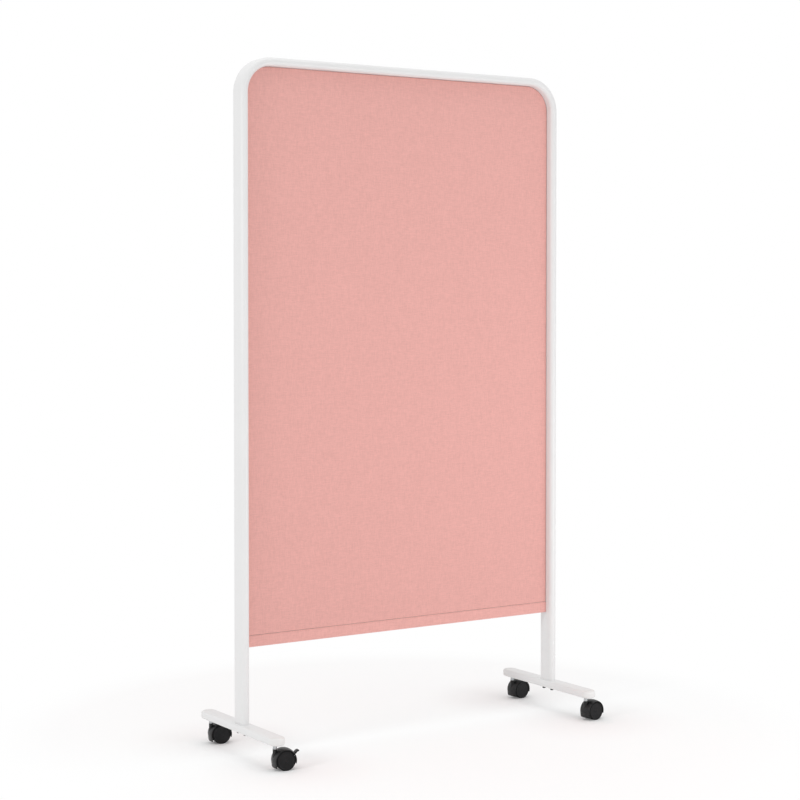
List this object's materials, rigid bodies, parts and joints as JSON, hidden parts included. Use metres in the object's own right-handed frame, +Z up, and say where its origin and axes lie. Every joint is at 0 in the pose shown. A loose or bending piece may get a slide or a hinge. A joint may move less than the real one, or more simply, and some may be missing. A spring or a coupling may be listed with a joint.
{
  "type": "mobile fabric notice board",
  "caption": "Free-standing pin board: a fabric-covered panel in an inverted-U flat-oval tube frame, on cross feet with hooded twin-wheel swivel castors.",
  "frame": {"origin": "on the floor, in the middle of the board's bounding box", "axes": "+Z up the board's height, +Y through the panel to the back, -Y to the front, +X to the right seen from the front"},
  "size_m": [1.0763, 0.4, 1.8],
  "materials": {
    "white_coat": "satin white powder coat",
    "white_plastic": "white moulded end cap",
    "pink_fabric": "dusty pink heathered woven fabric",
    "hem_fabric": "the same fabric, folded as a closing band",
    "grey_core": "dense pin board core, hidden",
    "zinc": "zinc-plated steel",
    "black_screw": "blackened steel screw",
    "black_nylon": "black moulded nylon",
    "black_disc": "black moulded wheel centre",
    "black_tread": "black soft tread"
  },
  "bodies": {
    "stand": {"frame_tube": "white_coat", "core_board": "grey_core", "fabric_cover": "pink_fabric", "bottom_hem": "hem_fabric", "panel_pin_low_left": "zinc", "panel_pin_middle_left": "zinc", "panel_pin_high_left": "zinc", "panel_pin_low_right": "zinc", "panel_pin_middle_right": "zinc", "panel_pin_high_right": "zinc", "foot_tube_left": "white_coat", "foot_tube_right": "white_coat", "foot_cap_front_left": "white_plastic", "foot_cap_back_left": "white_plastic", "foot_cap_front_right": "white_plastic", "foot_cap_back_right": "white_plastic", "post_plug_left": "zinc", "post_plug_right": "zinc", "foot_bolt_front_left": "black_screw", "foot_bolt_back_left": "black_screw", "foot_bolt_front_right": "black_screw", "foot_bolt_back_right": "black_screw", "stem_front_left": "zinc", "stem_back_left": "zinc", "stem_front_right": "zinc", "stem_back_right": "zinc", "stem_nut_front_left": "zinc", "stem_nut_back_left": "zinc", "stem_nut_front_right": "zinc", "stem_nut_back_right": "zinc"},
    "castor_front_left": {"housing_front_left": "black_nylon", "axle_front_left": "zinc"},
    "castor_back_left": {"housing_back_left": "black_nylon", "axle_back_left": "zinc"},
    "castor_front_right": {"housing_front_right": "black_nylon", "axle_front_right": "zinc"},
    "castor_back_right": {"housing_back_right": "black_nylon", "axle_back_right": "zinc"},
    "roller_near_front_left": {"wheel_near_front_left": "black_disc", "tyre_near_front_left": "black_tread"},
    "roller_far_front_left": {"wheel_far_front_left": "black_disc", "tyre_far_front_left": "black_tread"},
    "roller_near_back_left": {"wheel_near_back_left": "black_disc", "tyre_near_back_left": "black_tread"},
    "roller_far_back_left": {"wheel_far_back_left": "black_disc", "tyre_far_back_left": "black_tread"},
    "roller_near_front_right": {"wheel_near_front_right": "black_disc", "tyre_near_front_right": "black_tread"},
    "roller_far_front_right": {"wheel_far_front_right": "black_disc", "tyre_far_front_right": "black_tread"},
    "roller_near_back_right": {"wheel_near_back_right": "black_disc", "tyre_near_back_right": "black_tread"},
    "roller_far_back_right": {"wheel_far_back_right": "black_disc", "tyre_far_back_right": "black_tread"},
    "brake": {"brake_lever": "black_nylon", "brake_pin": "zinc"}
  },
  "joints": [
    {"name": "swivel_front_left", "type": "hinge", "parent": "stand", "child": "castor_front_left", "pos_m": [-0.51575, -0.17, 0.05], "axis": [0, 0, 1], "continuous": true},
    {"name": "swivel_back_left", "type": "hinge", "parent": "stand", "child": "castor_back_left", "pos_m": [-0.51575, 0.17, 0.05], "axis": [0, 0, 1], "continuous": true},
    {"name": "swivel_front_right", "type": "hinge", "parent": "stand", "child": "castor_front_right", "pos_m": [0.48425, -0.17, 0.05], "axis": [0, 0, 1], "continuous": true},
    {"name": "swivel_back_right", "type": "hinge", "parent": "stand", "child": "castor_back_right", "pos_m": [0.48425, 0.17, 0.05], "axis": [0, 0, 1], "continuous": true},
    {"name": "roll_near_front_left", "type": "hinge", "parent": "castor_front_left", "child": "roller_near_front_left", "pos_m": [-0.49159, -0.17409, 0.025], "axis": [0.1668, 0.986, 0], "continuous": true},
    {"name": "roll_far_front_left", "type": "hinge", "parent": "castor_front_left", "child": "roller_far_front_left", "pos_m": [-0.49159, -0.17409, 0.025], "axis": [0.1668, 0.986, 0], "continuous": true},
    {"name": "roll_near_back_left", "type": "hinge", "parent": "castor_back_left", "child": "roller_near_back_left", "pos_m": [-0.49173, 0.1652, 0.025], "axis": [0.1959, 0.9806, 0], "continuous": true},
    {"name": "roll_far_back_left", "type": "hinge", "parent": "castor_back_left", "child": "roller_far_back_left", "pos_m": [-0.49173, 0.1652, 0.025], "axis": [0.1959, 0.9806, 0], "continuous": true},
    {"name": "roll_near_front_right", "type": "hinge", "parent": "castor_front_right", "child": "roller_near_front_right", "pos_m": [0.50868, -0.16821, 0.025], "axis": [-0.0732, 0.9973, 0], "continuous": true},
    {"name": "roll_far_front_right", "type": "hinge", "parent": "castor_front_right", "child": "roller_far_front_right", "pos_m": [0.50868, -0.16821, 0.025], "axis": [-0.0732, 0.9973, 0], "continuous": true},
    {"name": "roll_near_back_right", "type": "hinge", "parent": "castor_back_right", "child": "roller_near_back_right", "pos_m": [0.50871, 0.17145, 0.025], "axis": [-0.0593, 0.9982, 0], "continuous": true},
    {"name": "roll_far_back_right", "type": "hinge", "parent": "castor_back_right", "child": "roller_far_back_right", "pos_m": [0.50871, 0.17145, 0.025], "axis": [-0.0593, 0.9982, 0], "continuous": true},
    {"name": "brake_press", "type": "hinge", "parent": "castor_front_left", "child": "brake", "pos_m": [-0.47394, -0.17707, 0.02688], "axis": [0.1668, 0.986, 0], "range_deg": [0, 22]}
  ]
}
